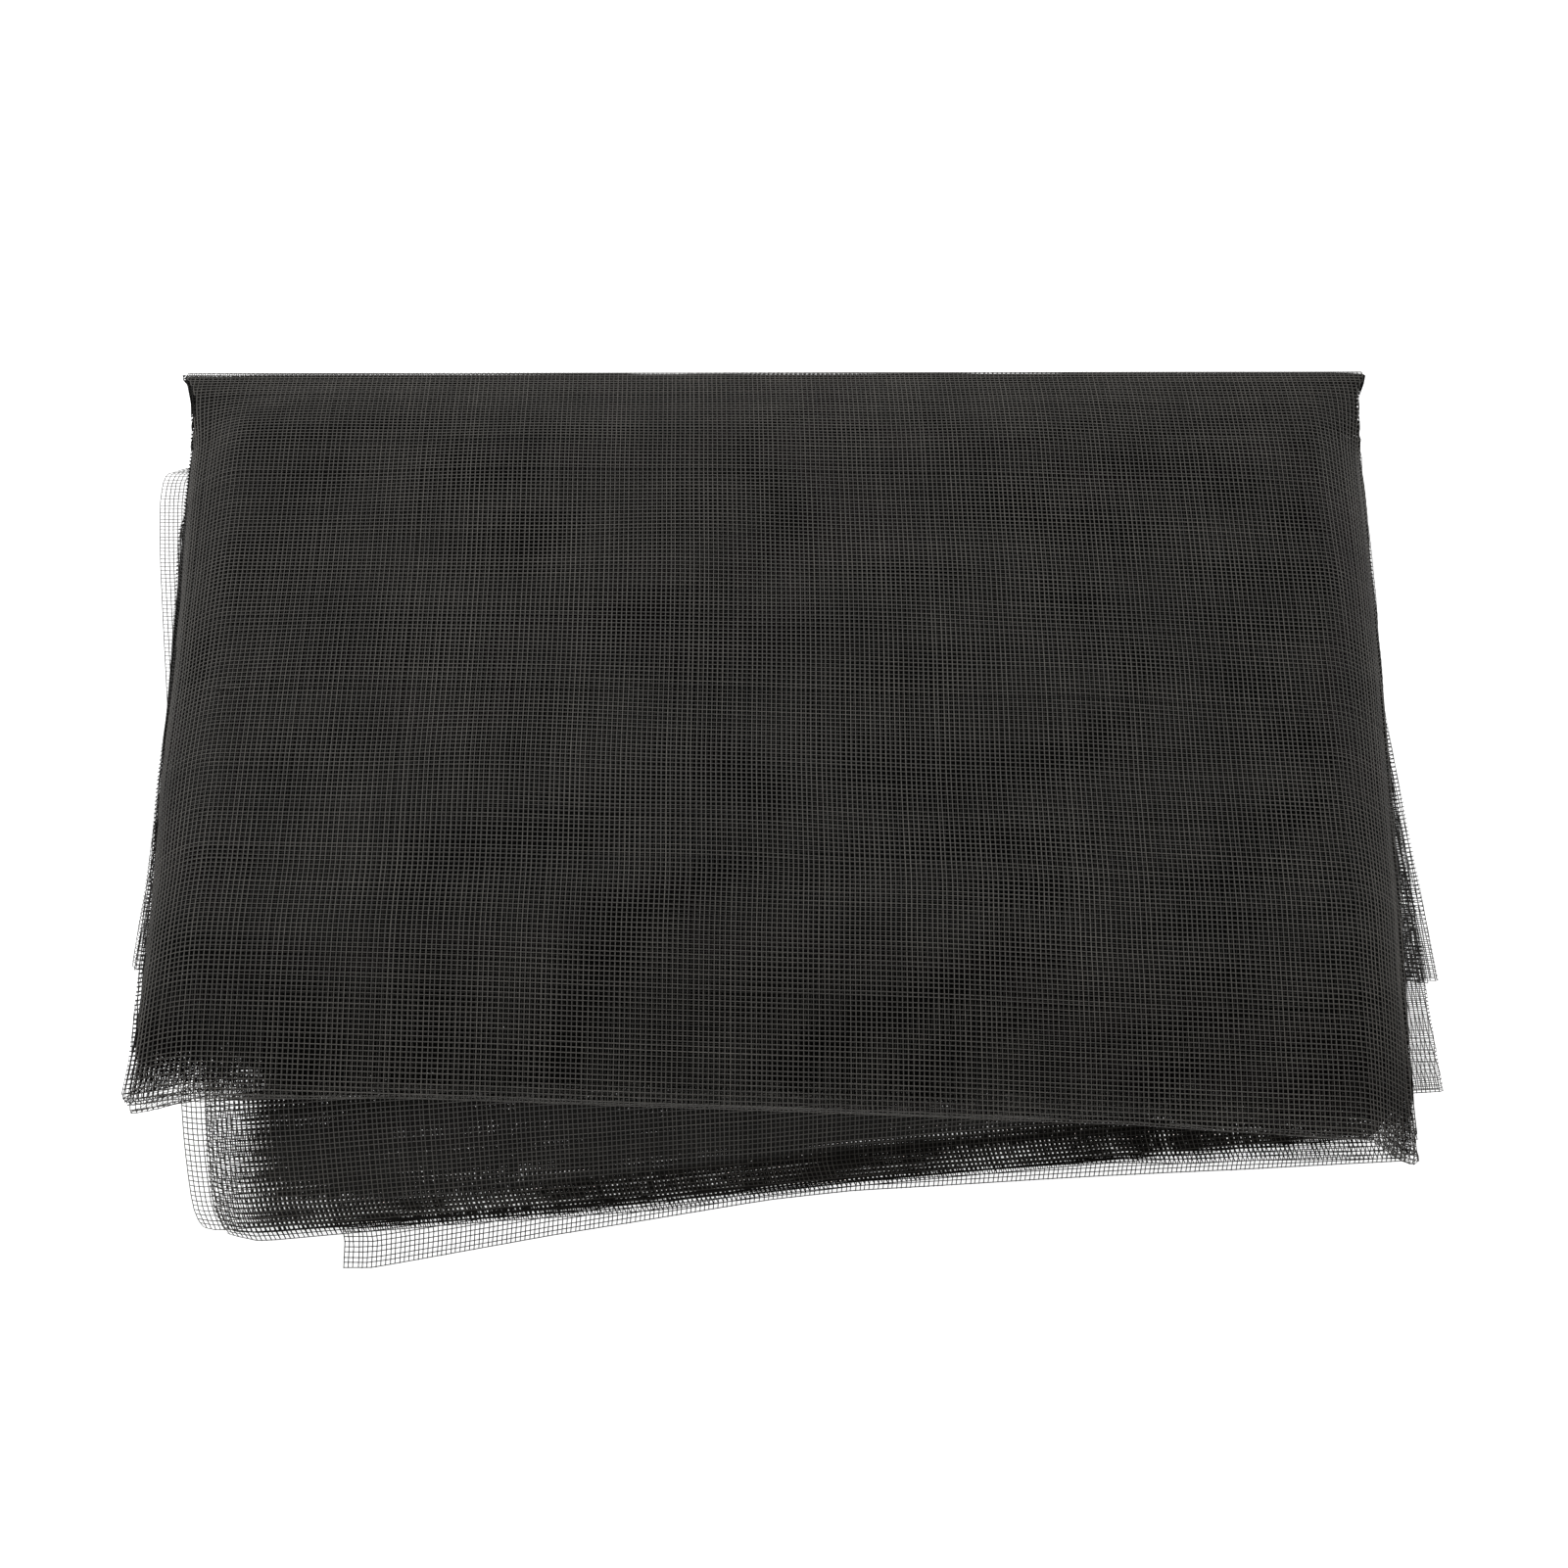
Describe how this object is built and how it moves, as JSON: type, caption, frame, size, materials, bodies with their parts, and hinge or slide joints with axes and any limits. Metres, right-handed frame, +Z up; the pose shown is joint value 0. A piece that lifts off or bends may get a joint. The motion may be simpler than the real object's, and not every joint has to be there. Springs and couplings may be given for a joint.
{
  "type": "folded window insect screen",
  "caption": "Soft woven insect screen for a window, one uncut length of fine net folded into a flat pack, ready to be spread and trimmed to a frame.",
  "frame": {"origin": "centre of the bounding box at the level the pack rests on", "axes": "+X along the long side of the pack, +Y away from the side where the cut ends show, +Z up"},
  "size_m": [0.4202, 0.3046, 0.073],
  "materials": {
    "net": "woven from thin round black strands with a faint sheen, open between them"
  },
  "bodies": {
    "root": {"folded_net": "net"}
  },
  "joints": []
}
